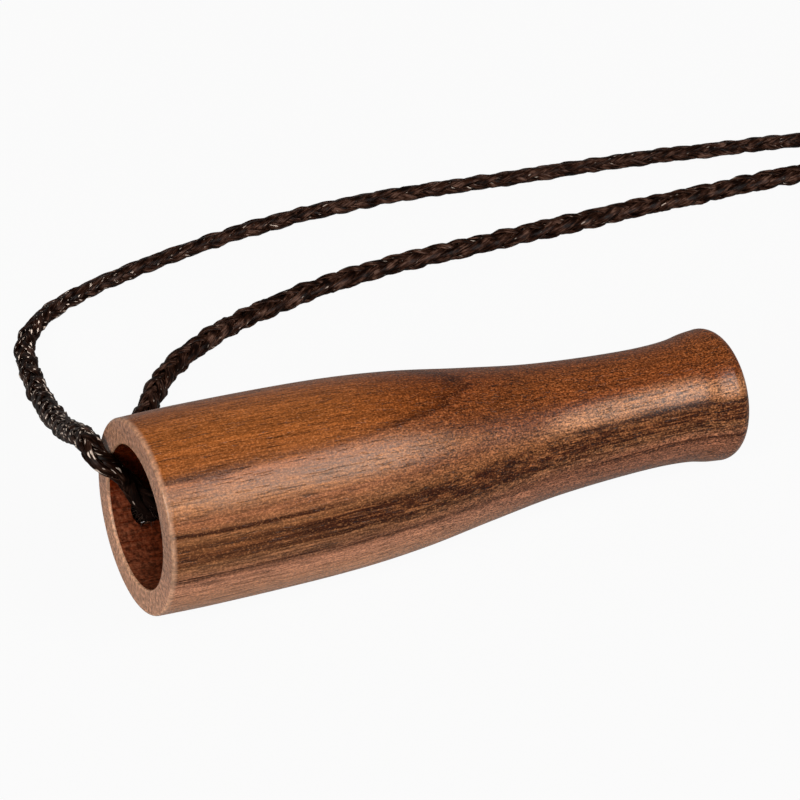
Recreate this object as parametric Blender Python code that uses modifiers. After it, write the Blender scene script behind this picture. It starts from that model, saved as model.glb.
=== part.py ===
"""Predator call: a turned walnut barrel, a closed-reed unit in its mouthpiece and a braided neck lanyard.

Metres, +Z up. The call lies on its side, on the bell's shoulder and the mouthpiece lip, with the bell
towards -X. The origin is on the ground under the middle of the barrel.
"""

import math

import bmesh
import bpy
from mathutils import Matrix, Vector

# Barrel. Stations run along its axis from the bell face to the mouthpiece end.
BARREL_LENGTH = 0.0950
BELL_RADIUS = 0.01445
BELLY_STATION = 0.0090
RIM_DRAW = 0.00015
BELL_WALL = 0.0038
RIM_OUTER_ROUND = 0.0005
RIM_INNER_ROUND = 0.0004
# Flank from the belly to the neck: station, and the share of the radius still above the neck's.
FLANK = ((0.0305, 0.931), (0.0420, 0.757), (0.0535, 0.444), (0.0650, 0.163))
NECK_WALL = 0.0027
NECK_FROM_END = 0.0135
# Mouthpiece flare: distance from the end, and the height above the neck.
FLARE = ((0.0075, 0.00028), (0.0048, 0.00078), (0.0024, 0.00103))
LIP_ROUND = 0.0024
SOCKET_RADIUS = 0.00635
SOCKET_DEPTH = 0.0410
SOCKET_EDGE_ROUND = 0.0006
THROAT_RADIUS = 0.0045
THROAT_LENGTH = 0.0040
BORE_CONE_LENGTH = 0.0080
LANYARD_HOLE_DEPTH = 0.0055
LANYARD_HOLE_ANGLE = math.radians(-33)
LANYARD_HOLE_RADIUS = 0.0020
TURNED_STEPS = 48
OUTLINE_STEPS = 3
ROUND_STEPS = 4
CONTACT_PASSES = 20

# Reed unit, seated on the shoulder at the bottom of the mouthpiece socket
SEAT_GAP = 0.0003
PLUG_CLEARANCE = 0.00025
PLUG_LENGTH = 0.0150
O_RING_SECTION = 0.0015
O_RING_SIDES = 8
O_RING_CLEARANCE = 0.0001
O_RING_SIDE_GAP = 0.0002
O_RING_FIRST = 0.0026
O_RING_SPACING = 0.0036
BOARD_LENGTH = 0.0180
BOARD_INSET = 0.0007
BOARD_HEIGHT = 0.0010
BOARD_SLOPE = math.radians(3)
BOARD_OVERLAP = 0.0010
CHANNEL_RADIUS = 0.0023
CHANNEL_DROP = 0.0016
CHANNEL_TIP_WALL = 0.0015
TROUGH_WIDTH = 0.0042
TROUGH_START = 0.0006
REED_WIDTH = 0.0070
REED_THICKNESS = 0.0003
REED_TAIL = 0.0050
REED_FREE = 0.0175
REED_TIP_ROUND = 0.0020
REED_TIP_STEPS = 4
REED_UNDER_GAP = 0.0003
REED_OVER_GAP = 0.00035
REED_SIDE_GAP = 0.0003
WEDGE_THICKNESS = 0.0014
WEDGE_NOSE = 0.0015
WEDGE_TAPER = 0.6
WEDGE_GAP = 0.0002
SLOT_DEPTH = 0.0062
CUT_PAST = 0.0030

# Lanyard
CORD_DIAMETER = 0.0032
CORD_SIDES = 2
ROUTE_STEPS = 2
MOUTH_ROUTE = (
    (-0.0420, 0.0102, 0.0090), (-0.0420, 0.0086, 0.0101), (-0.0421, 0.0071, 0.0112),
    (-0.0427, 0.0070, 0.0125), (-0.0439, 0.0077, 0.0141), (-0.0452, 0.0082, 0.0165),
    (-0.0467, 0.0081, 0.0187), (-0.0481, 0.0083, 0.0202), (-0.0490, 0.0098, 0.0212),
    (-0.0491, 0.0119, 0.0219), (-0.0489, 0.0163, 0.0203), (-0.0477, 0.0240, 0.0156),
    (-0.0462, 0.0325, 0.0110), (-0.0445, 0.0430, 0.0067), (-0.0426, 0.0540, 0.0035),
    (-0.0408, 0.0630, 0.0020), (-0.0395, 0.0676, 0.00165), (-0.0371, 0.0715, 0.00165),
    (-0.0337, 0.0747, 0.00165), (-0.0286, 0.0775, 0.00165), (-0.0215, 0.0800, 0.00165),
    (-0.0110, 0.0823, 0.00165), (0.0080, 0.0850, 0.00165), (0.0290, 0.0848, 0.00165),
    (0.0500, 0.0815, 0.00165), (0.0720, 0.0782, 0.00165), (0.0920, 0.0740, 0.00165),
    (0.1080, 0.0707, 0.00165), (0.1190, 0.0690, 0.00250), (0.1290, 0.0677, 0.00450),
    (0.1370, 0.06725, 0.00530), (0.1470, 0.06725, 0.00530), (0.1600, 0.06725, 0.00530),
)
HOLE_ROUTE = (
    (-0.0421, 0.0105, 0.0088), (-0.0422, 0.0123, 0.0077), (-0.0422, 0.0150, 0.0060),
    (-0.0416, 0.0195, 0.0035), (-0.0398, 0.0250, 0.0020), (-0.0367, 0.0312, 0.00165),
    (-0.0325, 0.0382, 0.00165), (-0.0279, 0.0443, 0.00165), (-0.0215, 0.0516, 0.00165),
    (-0.0110, 0.0580, 0.00165), (0.0040, 0.0625, 0.00165), (0.0210, 0.0644, 0.00165),
    (0.0420, 0.0639, 0.00165), (0.0640, 0.0633, 0.00165), (0.0860, 0.0621, 0.00165),
    (0.1000, 0.0612, 0.00175), (0.1100, 0.0610, 0.0022), (0.1165, 0.0610, 0.00245),
)
COIL_CENTRE = (0.1200, 0.0380)
COIL_OUTER_RADIUS = 0.0230
COIL_TURNS = 6
COIL_PITCH = 0.00372
COIL_LAYER = 0.00372
COIL_HEIGHT = 0.00245
LOOP_POINTS = 24
LOOP_SIDES = 1
NEIGHBOUR_SPAN = 3
TAIL_ROUTE = (
    (0.1238, 0.0610, 0.00610), (0.1290, 0.0616, 0.00600), (0.1340, 0.0631, 0.00550),
    (0.1385, 0.06375, 0.00530), (0.1470, 0.06375, 0.00530), (0.1600, 0.06375, 0.00530),
)
KNOT_START = (0.1395, 0.0655, 0.0053)
KNOT_TURNS = 4
KNOT_PITCH = 0.00385
KNOT_HALF_WIDTH = 0.0053
KNOT_HALF_HEIGHT = 0.00355
KNOT_LOOP_POINTS = 16
TIE_TURN = 0.35
TIE_WIDTH = 0.0030
TIE_THICKNESS = 0.0005
TIE_GAP = 0.00028
TIE_CORNER_STEPS = 6

CORD_RADIUS = CORD_DIAMETER / 2
NECK_RADIUS = SOCKET_RADIUS + NECK_WALL
RIM_RADIUS = BELL_RADIUS - RIM_DRAW
BELL_BORE_RADIUS = RIM_RADIUS - BELL_WALL
SHOULDER = BARREL_LENGTH - SOCKET_DEPTH
PLUG_RADIUS = SOCKET_RADIUS - PLUG_CLEARANCE
O_RING_CENTRE_RADIUS = SOCKET_RADIUS - O_RING_CLEARANCE - O_RING_SECTION / 2
GROOVE_RADIUS = O_RING_CENTRE_RADIUS - O_RING_SECTION / 2 - O_RING_CLEARANCE
REED_HEIGHT = BOARD_HEIGHT + REED_UNDER_GAP + REED_THICKNESS / 2
WEDGE_BOTTOM = REED_HEIGHT + REED_THICKNESS / 2 + REED_OVER_GAP
SLOT_TOP = WEDGE_BOTTOM + WEDGE_THICKNESS + WEDGE_GAP
SLOT_HALF_WIDTH = REED_WIDTH / 2 + REED_SIDE_GAP


def smooth(points, steps):
    """Points on a centripetal Catmull-Rom curve through the given ones, with steps to each span."""
    knots = [Vector(point) for point in points]
    knots = [2 * knots[0] - knots[1], *knots, 2 * knots[-1] - knots[-2]]
    found = []
    for a, b, c, d in zip(knots, knots[1:], knots[2:], knots[3:]):
        t1 = math.sqrt((b - a).length)
        t2 = t1 + math.sqrt((c - b).length)
        t3 = t2 + math.sqrt((d - c).length)
        for step in range(steps):
            t = t1 + (t2 - t1) * step / steps
            ab = a.lerp(b, t / t1)
            bc = b.lerp(c, (t - t1) / (t2 - t1))
            cd = c.lerp(d, (t - t2) / (t3 - t2))
            found.append(ab.lerp(bc, t / t2).lerp(bc.lerp(cd, (t - t1) / (t3 - t1)), (t - t1) / (t2 - t1)))
    return [*found, knots[-2]]


def quarter_round(centre, radius, start):
    """Points of a quarter circle in the station-radius plane, turning clockwise from the start angle."""
    angles = [start - math.pi / 2 * step / ROUND_STEPS for step in range(ROUND_STEPS + 1)]
    return [Vector(centre) + radius * Vector((math.cos(angle), math.sin(angle))) for angle in angles]


def outer_outline():
    """Station and radius along the barrel's outside, from the bell face to the mouthpiece end."""
    rise = BELL_RADIUS - NECK_RADIUS
    knots = [(0.0, RIM_RADIUS), (BELLY_STATION, BELL_RADIUS)]
    knots += [(station, NECK_RADIUS + share * rise) for station, share in FLANK]
    knots.append((BARREL_LENGTH - NECK_FROM_END, NECK_RADIUS))
    knots += [(BARREL_LENGTH - back, NECK_RADIUS + height) for back, height in FLARE]
    curve = smooth(knots, OUTLINE_STEPS)
    rim_centre = (RIM_OUTER_ROUND, RIM_RADIUS - RIM_OUTER_ROUND)
    rim = quarter_round(rim_centre, RIM_OUTER_ROUND, math.pi)
    lip_radius = NECK_RADIUS + FLARE[-1][1]
    lip_centre = (BARREL_LENGTH - LIP_ROUND, lip_radius - LIP_ROUND)
    lip = quarter_round(lip_centre, LIP_ROUND, math.pi / 2)
    return rim + [point for point in curve if point.x > 2 * RIM_OUTER_ROUND][:-1] + lip


def bore_outline():
    """Station and radius along the stepped bore, from the mouthpiece end to the bell face."""
    edge = SOCKET_EDGE_ROUND
    mouth_edge = quarter_round((BARREL_LENGTH - edge, SOCKET_RADIUS + edge), edge, 0.0)
    throat_start = SHOULDER - THROAT_LENGTH
    steps = [
        (SHOULDER, SOCKET_RADIUS),
        (SHOULDER, THROAT_RADIUS),
        (throat_start, THROAT_RADIUS),
        (throat_start - BORE_CONE_LENGTH, BELL_BORE_RADIUS),
    ]
    rim_centre = (RIM_INNER_ROUND, BELL_BORE_RADIUS + RIM_INNER_ROUND)
    rim_edge = quarter_round(rim_centre, RIM_INNER_ROUND, -math.pi / 2)
    return mouth_edge + [Vector(step) for step in steps] + rim_edge


def resting_pose(outline):
    """Tilt of the axis, and the bell face's height and X, for a barrel lying on its shoulder and lip."""
    bell_side = [point for point in outline if point.x < BARREL_LENGTH / 2]
    lip_side = [point for point in outline if point.x >= BARREL_LENGTH / 2]
    slope = 0.0
    for _ in range(CONTACT_PASSES):
        shoulder = max(bell_side, key=lambda point: point.y + slope * point.x)
        lip = max(lip_side, key=lambda point: point.y + slope * point.x)
        slope = (shoulder.y - lip.y) / (lip.x - shoulder.x)
    tilt = math.atan(slope)
    height = shoulder.x * math.sin(tilt) + shoulder.y * math.cos(tilt)
    low = min(point.x * math.cos(tilt) - point.y * math.sin(tilt) for point in outline)
    high = max(point.x * math.cos(tilt) + point.y * math.sin(tilt) for point in outline)
    return tilt, height, -(low + high) / 2


def material(name, colour, roughness, metallic=0.0):
    made = bpy.data.materials.new(name)
    made.use_nodes = True
    shader = made.node_tree.nodes["Principled BSDF"]
    shader.inputs["Base Color"].default_value = (*colour, 1.0)
    shader.inputs["Roughness"].default_value = roughness
    shader.inputs["Metallic"].default_value = metallic
    made.diffuse_color = (*colour, 1.0)
    return made


def place(name, data, collection, finish=None, parent=None, location=(0.0, 0.0, 0.0)):
    obj = bpy.data.objects.new(name, data)
    collection.objects.link(obj)
    obj.parent = parent
    obj.location = location
    if finish:
        data.materials.append(finish)
    return obj


def hide_cutter(obj):
    obj.hide_render = True
    obj.display_type = "WIRE"
    return obj


def cut_or_join(obj, other, operation):
    modifier = obj.modifiers.new(other.name, "BOOLEAN")
    modifier.operation = operation
    modifier.solver = "EXACT"
    modifier.object = other


def turned(name, outline, closed):
    """Mesh edges of an outline in the XZ plane, given as station and radius, for turning about X."""
    mesh = bpy.data.meshes.new(name)
    points = [(point.x, 0.0, point.y) for point in outline]
    edges = [(index, index + 1) for index in range(len(points) - 1)]
    if closed:
        edges.append((len(points) - 1, 0))
    mesh.from_pydata(points, edges, [])
    return mesh


def turn(obj):
    modifier = obj.modifiers.new("Turn", "SCREW")
    modifier.axis = "X"
    modifier.steps = TURNED_STEPS
    modifier.render_steps = TURNED_STEPS
    modifier.use_merge_vertices = True
    modifier.merge_threshold = 1e-6
    modifier.use_smooth_shade = True


def rod(name, radius, start, end, collection, parent, height=0.0):
    """A round rod along X, from one station to another."""
    mesh = bpy.data.meshes.new(name)
    shape = bmesh.new()
    bmesh.ops.create_cone(
        shape, cap_ends=True, segments=TURNED_STEPS, radius1=radius, radius2=radius, depth=end - start
    )
    bmesh.ops.rotate(shape, verts=shape.verts, matrix=Matrix.Rotation(math.pi / 2, 3, "Y"))
    bmesh.ops.translate(shape, verts=shape.verts, vec=((start + end) / 2, 0.0, height))
    shape.to_mesh(mesh)
    shape.free()
    return place(name, mesh, collection, parent=parent)


def block(name, low, high, collection, parent, location=(0.0, 0.0, 0.0)):
    """A box between two corners, measured from its location."""
    mesh = bpy.data.meshes.new(name)
    shape = bmesh.new()
    bmesh.ops.create_cube(shape, size=1.0)
    size = Vector(high) - Vector(low)
    bmesh.ops.scale(shape, verts=shape.verts, vec=size)
    bmesh.ops.translate(shape, verts=shape.verts, vec=Vector(low) + size / 2)
    shape.to_mesh(mesh)
    shape.free()
    return place(name, mesh, collection, parent=parent, location=location)


def tube(name, points, radius, sides, collection, finish):
    """A closed tube along points, as a bevelled poly curve."""
    curve = bpy.data.curves.new(name, "CURVE")
    curve.dimensions = "3D"
    curve.bevel_depth = radius
    curve.bevel_resolution = sides
    curve.use_fill_caps = True
    spline = curve.splines.new("POLY")
    spline.points.add(len(points) - 1)
    for target, point in zip(spline.points, points):
        target.co = (*point, 1.0)
    return place(name, curve, collection, finish)


def least_gap(points, diameter):
    """Least clear distance between stretches of a tube that aren't neighbours along it."""
    lengths = [0.0]
    for before, after in zip(points, points[1:]):
        lengths.append(lengths[-1] + (after - before).length)
    apart = NEIGHBOUR_SPAN * diameter
    best = math.inf
    for i, point in enumerate(points):
        for j in range(len(points) - 1):
            if min(abs(lengths[j] - lengths[i]), abs(lengths[j + 1] - lengths[i])) < apart:
                continue
            run = points[j + 1] - points[j]
            share = max(0.0, min(1.0, (point - points[j]).dot(run) / run.length_squared))
            best = min(best, (point - points[j] - share * run).length)
    return best - diameter


def make_barrel(parts, cutters, call, finish):
    outline = outer_outline() + bore_outline()
    barrel = place("walnut_barrel", turned("walnut_barrel", outline[::-1], closed=True), parts, finish, call)
    turn(barrel)
    hole = rod("lanyard_hole_cutter", LANYARD_HOLE_RADIUS, BELL_BORE_RADIUS - CUT_PAST,
               BELL_RADIUS + CUT_PAST, cutters, call)
    hole.location.x = LANYARD_HOLE_DEPTH
    outward = Vector((0.0, math.cos(LANYARD_HOLE_ANGLE), math.sin(LANYARD_HOLE_ANGLE)))
    hole.rotation_euler = Vector((1.0, 0.0, 0.0)).rotation_difference(outward).to_euler()
    cut_or_join(barrel, hide_cutter(hole), "DIFFERENCE")


def plug_outline():
    """Turned outline of the plug with its two ring grooves, measured from its inner end."""
    half_groove = O_RING_SECTION / 2 + O_RING_SIDE_GAP
    outline = [(0.0, 0.0), (0.0, PLUG_RADIUS)]
    for ring in range(2):
        middle = O_RING_FIRST + ring * O_RING_SPACING
        outline += [
            (middle - half_groove, PLUG_RADIUS), (middle - half_groove, GROOVE_RADIUS),
            (middle + half_groove, GROOVE_RADIUS), (middle + half_groove, PLUG_RADIUS),
        ]
    outline += [(PLUG_LENGTH, PLUG_RADIUS), (PLUG_LENGTH, 0.0)]
    return [Vector(point) for point in outline]


def make_reed_plug(parts, cutters, unit, finish):
    plug = place("reed_plug", turned("reed_plug", plug_outline()[::-1], closed=False), parts, finish, unit)
    turn(plug)
    board_end = PLUG_LENGTH + BOARD_LENGTH
    board_radius = PLUG_RADIUS - BOARD_INSET
    board = rod("tone_board", board_radius, PLUG_LENGTH - BOARD_OVERLAP, board_end, cutters, unit)
    plane = block("board_plane_cutter", (-CUT_PAST, -2 * board_radius, 0.0),
                  (BOARD_LENGTH + CUT_PAST, 2 * board_radius, 2 * board_radius), cutters, unit,
                  (PLUG_LENGTH, 0.0, BOARD_HEIGHT))
    plane.rotation_euler.y = BOARD_SLOPE
    cut_or_join(board, hide_cutter(plane), "DIFFERENCE")
    cut_or_join(plug, hide_cutter(board), "UNION")
    slot = block("clamp_slot_cutter", (PLUG_LENGTH - SLOT_DEPTH, -SLOT_HALF_WIDTH, BOARD_HEIGHT),
                 (PLUG_LENGTH + CUT_PAST, SLOT_HALF_WIDTH, SLOT_TOP), cutters, unit)
    channel_end = board_end - CHANNEL_TIP_WALL
    channel = rod("channel_cutter", CHANNEL_RADIUS, -CUT_PAST, channel_end, cutters, unit, -CHANNEL_DROP)
    trough = block("trough_cutter", (PLUG_LENGTH + TROUGH_START, -TROUGH_WIDTH / 2, -CHANNEL_DROP),
                   (channel_end, TROUGH_WIDTH / 2, BOARD_HEIGHT + CUT_PAST), cutters, unit)
    for cutter in (slot, channel, trough):
        cut_or_join(plug, hide_cutter(cutter), "DIFFERENCE")


def make_o_rings(parts, unit, finish):
    for ring, name in enumerate(("o_ring_inner", "o_ring_outer")):
        bpy.ops.mesh.primitive_torus_add(
            major_segments=TURNED_STEPS, minor_segments=O_RING_SIDES,
            major_radius=O_RING_CENTRE_RADIUS, minor_radius=O_RING_SECTION / 2,
        )
        torus = bpy.context.object
        for holder in torus.users_collection:
            holder.objects.unlink(torus)
        torus.name = name
        torus.data.name = name
        parts.objects.link(torus)
        torus.parent = unit
        torus.location = (O_RING_FIRST + ring * O_RING_SPACING, 0.0, 0.0)
        torus.rotation_euler.y = math.pi / 2
        torus.data.materials.append(finish)
        torus.data.shade_smooth()


def make_reed(parts, unit, finish):
    """Flat brass tongue. Its origin is on the flexing line, at the front edge of the clamp."""
    half = REED_WIDTH / 2
    corner = min(REED_TIP_ROUND, half)
    angles = [math.pi / 2 * step / REED_TIP_STEPS for step in range(REED_TIP_STEPS + 1)]
    tip = [
        (REED_FREE + corner * (math.sin(angle) - 1), half + corner * (math.cos(angle) - 1))
        for angle in angles
    ]
    outline = [(-REED_TAIL, -half), *[(x, -y) for x, y in tip], *tip[::-1], (-REED_TAIL, half)]
    curve = bpy.data.curves.new("reed", "CURVE")
    curve.dimensions = "2D"
    curve.fill_mode = "BOTH"
    curve.extrude = REED_THICKNESS / 2
    spline = curve.splines.new("POLY")
    spline.points.add(len(outline) - 1)
    for target, point in zip(spline.points, outline):
        target.co = (*point, 0.0, 1.0)
    spline.use_cyclic_u = True
    place("reed", curve, parts, finish, unit, (PLUG_LENGTH, 0.0, REED_HEIGHT))


def make_wedge(parts, unit, finish):
    """Cork wedge above the reed's tail, thinner at its inner end."""
    half = REED_WIDTH / 2
    inner = -SLOT_DEPTH + WEDGE_GAP
    wedge = block("reed_wedge", (inner, -half, 0.0), (WEDGE_NOSE, half, WEDGE_THICKNESS), parts, unit,
                  (PLUG_LENGTH, 0.0, WEDGE_BOTTOM))
    for vertex in wedge.data.vertices:
        if vertex.co.x < 0.0 and vertex.co.z < WEDGE_THICKNESS / 2:
            vertex.co.z = WEDGE_THICKNESS * (1 - WEDGE_TAPER)
    wedge.data.materials.append(finish)


def coil_points():
    """Loops that spiral in on the lower layer and out on the upper, clockwise seen from above."""
    half = COIL_TURNS / 2
    points = []
    for step in range(COIL_TURNS * LOOP_POINTS + 1):
        turns = step / LOOP_POINTS
        angle = math.pi / 2 - 2 * math.pi * turns
        climb = max(0.0, min(1.0, 2 * (turns - half) + 0.5))
        radius = coil_radius(turns)
        x = COIL_CENTRE[0] + radius * math.cos(angle)
        y = COIL_CENTRE[1] + radius * math.sin(angle)
        points.append(Vector((x, y, COIL_HEIGHT + COIL_LAYER * climb)))
    start_end = Vector((CORD_DIAMETER, 0.0, 0.0))
    return [points[0] - start_end, *points, points[-1] + start_end]


def coil_radius(turns):
    half = COIL_TURNS / 2
    return COIL_OUTER_RADIUS - COIL_PITCH * (half - abs(turns - half))


def knot_points():
    """Whipping turns round the two ends of the lanyard, along +X."""
    points = []
    for step in range(KNOT_TURNS * KNOT_LOOP_POINTS + 1):
        turns = step / KNOT_LOOP_POINTS
        angle = 2 * math.pi * turns
        along = KNOT_PITCH * turns
        across = KNOT_HALF_WIDTH * math.cos(angle)
        up = KNOT_HALF_HEIGHT * math.sin(angle)
        points.append(Vector(KNOT_START) + Vector((along, across, up)))
    return points


def make_tie(parts, finish):
    """Flat strip round the coil's bundle: an oval ring, cut from a filled outline."""
    radii = [coil_radius(turn + TIE_TURN) for turn in range(COIL_TURNS)]
    inner = min(radii) - CORD_RADIUS - TIE_GAP
    outer = max(radii) + CORD_RADIUS + TIE_GAP
    half_width = (outer - inner) / 2
    half_height = COIL_LAYER / 2 + CORD_RADIUS + TIE_GAP
    curve = bpy.data.curves.new("coil_tie", "CURVE")
    curve.dimensions = "2D"
    curve.fill_mode = "BOTH"
    curve.extrude = TIE_WIDTH / 2
    for grow in (TIE_THICKNESS, 0.0):
        corner = CORD_RADIUS + TIE_GAP + grow
        outline = []
        for quarter in range(4):
            for step in range(TIE_CORNER_STEPS + 1):
                angle = math.pi / 2 * (quarter + step / TIE_CORNER_STEPS)
                side = math.copysign(half_width + grow - corner, math.cos(math.pi / 2 * (quarter + 0.5)))
                lift = math.copysign(half_height + grow - corner, math.sin(math.pi / 2 * (quarter + 0.5)))
                outline.append((side + corner * math.cos(angle), lift + corner * math.sin(angle)))
        spline = curve.splines.new("POLY")
        spline.points.add(len(outline) - 1)
        for target, point in zip(spline.points, outline):
            target.co = (*point, 0.0, 1.0)
        spline.use_cyclic_u = True
    angle = math.pi / 2 - 2 * math.pi * TIE_TURN
    middle = (inner + outer) / 2
    tie = place("coil_tie", curve, parts, finish)
    tie.location = (
        COIL_CENTRE[0] + middle * math.cos(angle),
        COIL_CENTRE[1] + middle * math.sin(angle),
        COIL_HEIGHT + COIL_LAYER / 2,
    )
    tie.rotation_euler = (math.pi / 2, 0.0, angle)


def make_lanyard(parts, finish):
    tube("lanyard_mouth_run", smooth(MOUTH_ROUTE, ROUTE_STEPS), CORD_RADIUS, CORD_SIDES, parts, finish)
    tube("lanyard_hole_run", smooth(HOLE_ROUTE, ROUTE_STEPS), CORD_RADIUS, CORD_SIDES, parts, finish)
    tube("lanyard_tail", smooth(TAIL_ROUTE, ROUTE_STEPS), CORD_RADIUS, CORD_SIDES, parts, finish)
    for name, points in (("lanyard_coil", coil_points()), ("lanyard_knot", knot_points())):
        tube(name, points, CORD_RADIUS, LOOP_SIDES, parts, finish)
        print(f"{name}: least gap to itself {1000 * least_gap(points, CORD_DIAMETER):.2f} mm")


def main():
    for obj in list(bpy.data.objects):
        bpy.data.objects.remove(obj)
    parts = bpy.data.collections.new("predator_call")
    cutters = bpy.data.collections.new("cutters")
    for collection in (parts, cutters):
        bpy.context.scene.collection.children.link(collection)
    walnut = material("oiled_walnut", (0.23, 0.09, 0.04), 0.42)
    moulding = material("black_abs", (0.02, 0.02, 0.022), 0.45)
    brass = material("rolled_brass", (0.72, 0.50, 0.20), 0.28, 1.0)
    cork = material("cork", (0.55, 0.36, 0.20), 0.85)
    rubber = material("black_rubber", (0.015, 0.015, 0.015), 0.6)
    braid = material("brown_braid", (0.035, 0.022, 0.016), 0.6)
    strip = material("black_strip", (0.02, 0.02, 0.02), 0.5)

    tilt, height, bell_x = resting_pose(outer_outline())
    call = place("call_axis", None, parts, location=(bell_x, 0.0, height))
    call.rotation_euler.y = tilt
    unit = place("reed_unit_axis", None, parts, parent=call, location=(SHOULDER + SEAT_GAP, 0.0, 0.0))
    make_barrel(parts, cutters, call, walnut)
    make_reed_plug(parts, cutters, unit, moulding)
    make_o_rings(parts, unit, rubber)
    make_reed(parts, unit, brass)
    make_wedge(parts, unit, cork)
    make_lanyard(parts, braid)
    make_tie(parts, strip)


main()
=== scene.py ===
import math
import random
from functools import partial

import bpy
from mathutils import Matrix, Quaternion, Vector


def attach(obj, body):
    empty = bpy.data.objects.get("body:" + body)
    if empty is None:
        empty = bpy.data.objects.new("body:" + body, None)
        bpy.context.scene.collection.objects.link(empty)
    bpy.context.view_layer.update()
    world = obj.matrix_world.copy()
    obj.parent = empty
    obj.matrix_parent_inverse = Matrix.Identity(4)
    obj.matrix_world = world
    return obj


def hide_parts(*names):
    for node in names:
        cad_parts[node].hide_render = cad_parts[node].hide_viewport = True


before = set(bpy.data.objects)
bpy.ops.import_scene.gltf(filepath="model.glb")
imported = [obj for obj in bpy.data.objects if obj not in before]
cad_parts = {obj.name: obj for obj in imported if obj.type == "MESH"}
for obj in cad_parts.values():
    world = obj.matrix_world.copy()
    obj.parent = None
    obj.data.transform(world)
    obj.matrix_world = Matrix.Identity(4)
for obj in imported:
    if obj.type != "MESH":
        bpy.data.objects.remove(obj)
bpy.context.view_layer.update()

mm = 0.001
print("frame loaded:", ", ".join(sorted(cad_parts)))


def hexColour(code):   # sRGB hex to the linear values that the sockets take
    parts = [int(code[i:i + 2], 16) / 255 for i in (0, 2, 4)]
    return [c / 12.92 if c <= 0.04045 else ((c + 0.055) / 1.055) ** 2.4 for c in parts] + [1.0]


def addNode(tree, kind, inputs, out=0, stops=(), **settings):   # returns the output socket that out names
    made = tree.nodes.new("ShaderNode" + kind)
    for key, value in settings.items():
        setattr(made, key, value)
    for socket, value in inputs.items():   # another node's socket is linked, anything else is set
        if isinstance(value, bpy.types.NodeSocket):
            tree.links.new(value, made.inputs[socket])
        else:
            made.inputs[socket].default_value = value
    for index, (place, colour) in enumerate(stops):   # a ramp starts with two stops of its own
        ramp = made.color_ramp.elements
        stop = ramp[index] if index < 2 else ramp.new(place)
        stop.position = place
        stop.color = hexColour(colour)
    return made.outputs[out] if made.outputs else None


def newMaterial(name):   # with the function that adds its nodes
    made = bpy.data.materials.new(name)
    made.use_nodes = True
    made.node_tree.nodes.clear()
    return made, partial(addNode, made.node_tree)


def startPiece(name):   # the primitive just added becomes the named piece
    made = bpy.context.object
    made.name = name
    made.data.name = name
    return made


def clearSelection():
    if bpy.context.object and bpy.context.object.mode != "OBJECT":
        bpy.ops.object.mode_set(mode="OBJECT")
    bpy.ops.object.select_all(action="DESELECT")


def takeUp(piece):   # selected alone, and active
    clearSelection()
    piece.select_set(True)
    bpy.context.view_layer.objects.active = piece


def applyAll(piece):
    takeUp(piece)
    for name in [modifier.name for modifier in piece.modifiers]:
        bpy.ops.object.modifier_apply(modifier=name)
    bpy.ops.object.transform_apply(location=True, rotation=True, scale=True)


def seat(piece, place):   # from its own frame to where the call holds it
    clearSelection()
    piece.matrix_world = place
    applyAll(piece)


def newPiece(name, verts, faces):
    mesh = bpy.data.meshes.new(name)
    mesh.from_pydata(verts, [], faces)
    mesh.update()
    piece = bpy.data.objects.new(name, mesh)
    bpy.context.scene.collection.objects.link(piece)
    return piece


# Camera, at the photograph's own viewing angle

cameraView = {
    "place": (-0.19221, -0.40038, 0.33205),
    "lookDown": 55.11,    # degrees from straight down
    "turn": -24.96,
    "lens": 168.7, "sensor": 36.0, "clip": (0.01, 20.0),
}

clearSelection()
bpy.ops.object.camera_add(
    location=cameraView["place"],
    rotation=(math.radians(cameraView["lookDown"]), 0.0, math.radians(cameraView["turn"])),
)
camera = bpy.context.object
camera.name = "productCamera"
camera.data.lens = cameraView["lens"]
camera.data.sensor_width = cameraView["sensor"]
camera.data.clip_start, camera.data.clip_end = cameraView["clip"]
bpy.context.scene.camera = camera
print("camera placed")


# Lanyard: a soft 3.2 mm eight-strand braid, two strands over and two under, lying rather flat

braid = {
    "width": 3.2 * mm, "thickness": 2.2 * mm,
    "strands": 8,
    "lay": 16.0 * mm,          # one full turn of a strand, four chevrons
    "over": 1.22 * mm,         # strand centre where it floats on top
    "under": 0.72 * mm,        # and where it dives
    "strandWidth": 1.55 * mm, "strandThickness": 0.62 * mm, "sides": 7,
    "ringGap": 0.5 * mm,       # between the rings of a strand's mesh, where the cord shows close up
    "sink": 0.42 * mm,         # the flat braid lies lower than its round solid
    "sinkFrom": 6.0 * mm, "sinkFull": 3.0 * mm,   # heights between which that sets in
    "uneven": 0.12 * mm,       # hand of the braid: strands wander
    "swellEvery": 1.5 * mm, "swell": 0.18,        # and swell a little
    "endTaper": 1.6 * mm, "meltedSize": 0.55,     # melted tip
    "groundGap": 0.03 * mm, "give": 0.12 * mm, "pressBelow": 1.5 * mm,   # flattens where it rests
    "uvShift": 0.37,           # so that no two strands look alike
}
inHole = 3.75 * mm             # it swells to fill the lanyard hole

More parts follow.
